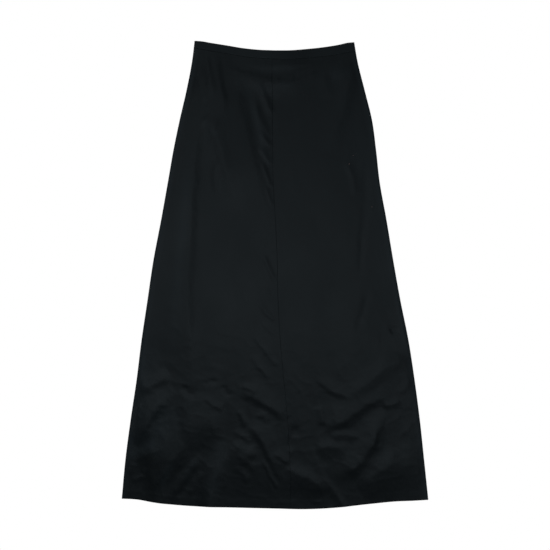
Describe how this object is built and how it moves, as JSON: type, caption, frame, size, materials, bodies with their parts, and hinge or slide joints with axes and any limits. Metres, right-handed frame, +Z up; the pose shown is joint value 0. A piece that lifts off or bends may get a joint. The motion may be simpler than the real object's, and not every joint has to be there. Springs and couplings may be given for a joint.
{
  "type": "maxi skirt",
  "caption": "Long A-line satin skirt laid flat with its front up, with a narrow waistband, a centre-front seam, a turned-up hem and a concealed back zip.",
  "frame": {"origin": "on the surface that the skirt lies on, under the middle of its bounding box", "axes": "+Z up from the surface, through the back panels to the front panels; +Y from hem to waist; +X to the right of the picture"},
  "size_m": [0.644, 0.9841, 0.0092],
  "materials": {
    "satin": "black satin weave with a soft, cool sheen",
    "band_satin": "black satin weave over interfacing",
    "zip_metal": "black lacquered zip metal, satin gloss"
  },
  "bodies": {
    "skirt": {"front_left": "satin", "front_right": "satin", "back_left": "satin", "back_right": "satin", "waistband_front": "band_satin", "waistband_back_left": "band_satin", "waistband_back_right": "band_satin", "zip_slider": "zip_metal"},
    "pull": {"zip_pull": "zip_metal"}
  },
  "joints": [
    {"name": "zip_pull_swing", "type": "hinge", "parent": "skirt", "child": "pull", "pos_m": [0, 0.4626, 0.00155], "axis": [1, 0, 0], "range_deg": [0, 160]}
  ]
}
